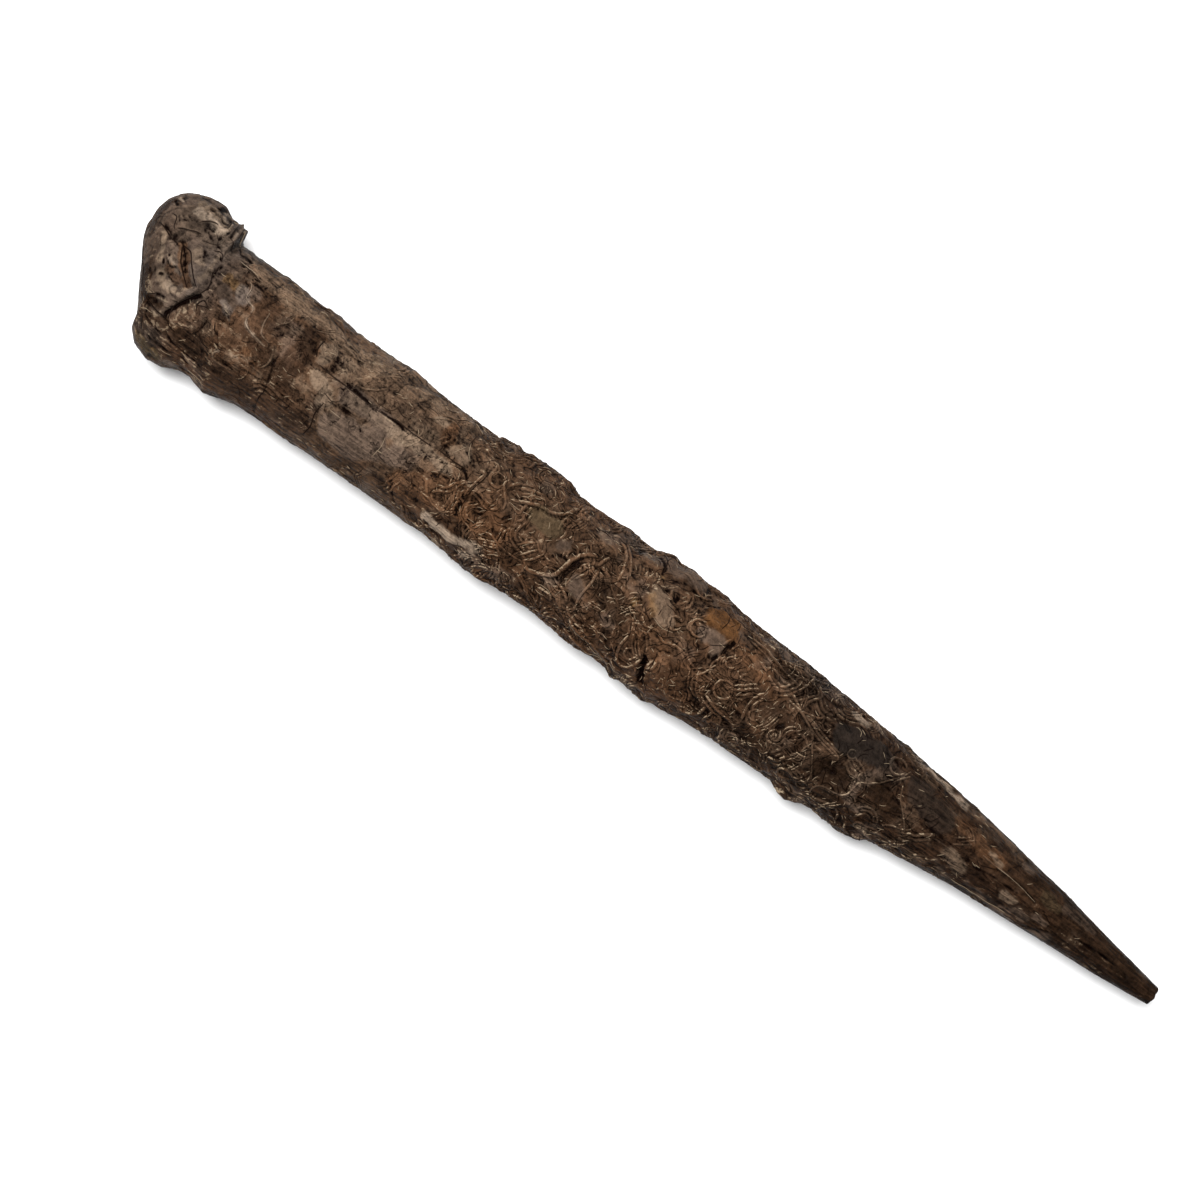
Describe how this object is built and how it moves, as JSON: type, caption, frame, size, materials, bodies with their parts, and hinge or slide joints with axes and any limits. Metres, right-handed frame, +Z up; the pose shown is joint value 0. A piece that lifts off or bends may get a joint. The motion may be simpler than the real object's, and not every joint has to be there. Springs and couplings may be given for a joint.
{
  "type": "fossil belemnite",
  "caption": "Long bullet-shaped fossil guard with a crushed, lipped blunt end and a slender apex, crusted with worm tubes, lying on its flattened belly.",
  "frame": {"origin": "on the surface that the guard lies on, below the middle of its bounding box", "axes": "+X along the guard from the blunt head to the apex, +Y across it towards the flank with the head's lip, +Z up from the belly to the back"},
  "size_m": [0.2, 0.0264, 0.02],
  "materials": {
    "fossil_calcite": "satin dark brown calcite, mottled grey, tan and ochre"
  },
  "bodies": {
    "root": {"guard": "fossil_calcite"}
  },
  "joints": []
}
